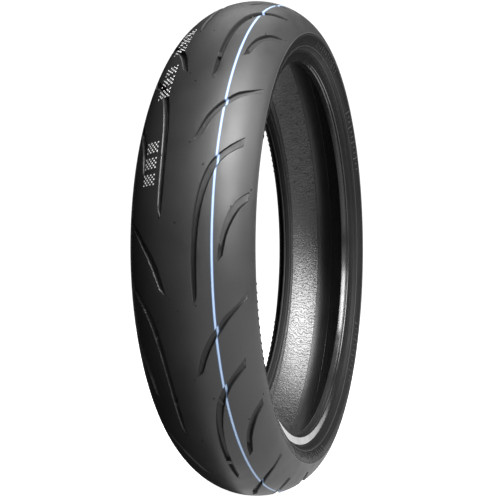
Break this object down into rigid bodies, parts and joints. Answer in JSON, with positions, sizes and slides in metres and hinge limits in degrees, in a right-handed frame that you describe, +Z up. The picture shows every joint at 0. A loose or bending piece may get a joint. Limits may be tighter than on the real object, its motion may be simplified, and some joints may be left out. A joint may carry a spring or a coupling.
{
  "type": "motorcycle tyre",
  "caption": "Radial road tyre for a motorcycle wheel, with curved grooves on a round crown and two wire-cored beads that seat on the rim.",
  "frame": {"origin": "wheel centre: on the axle line, midway between the beads", "axes": "+Y along the axle to the left side, +X forward, +Z up"},
  "size_m": [0.576, 0.126, 0.576],
  "materials": {
    "tread_rubber": "matte grey-black, lightly burnished on the crown",
    "base_rubber": "matte",
    "belt_cord": "steel cord in rubber, satin",
    "cushion_rubber": "matte",
    "ply_fabric": "rubber-coated textile cord",
    "liner_rubber": "satin, embossed by the curing bladder",
    "sidewall_rubber": "satin black",
    "bead_wire": "bronze-coated wire",
    "filler_rubber": "hard, matte",
    "chafer_rubber": "smooth, semi-gloss black"
  },
  "bodies": {
    "root": {"tread_cap": "tread_rubber", "tread_base": "base_rubber", "zero_degree_belt": "belt_cord", "belt_edge_cushion_left": "cushion_rubber", "belt_edge_cushion_right": "cushion_rubber", "carcass_ply_outer": "ply_fabric", "carcass_ply_inner": "ply_fabric", "inner_liner": "liner_rubber", "sidewall_left": "sidewall_rubber", "sidewall_right": "sidewall_rubber", "bead_core_left": "bead_wire", "bead_core_right": "bead_wire", "bead_filler_left": "filler_rubber", "bead_filler_right": "filler_rubber", "chafer_left": "chafer_rubber", "chafer_right": "chafer_rubber"}
  },
  "joints": []
}
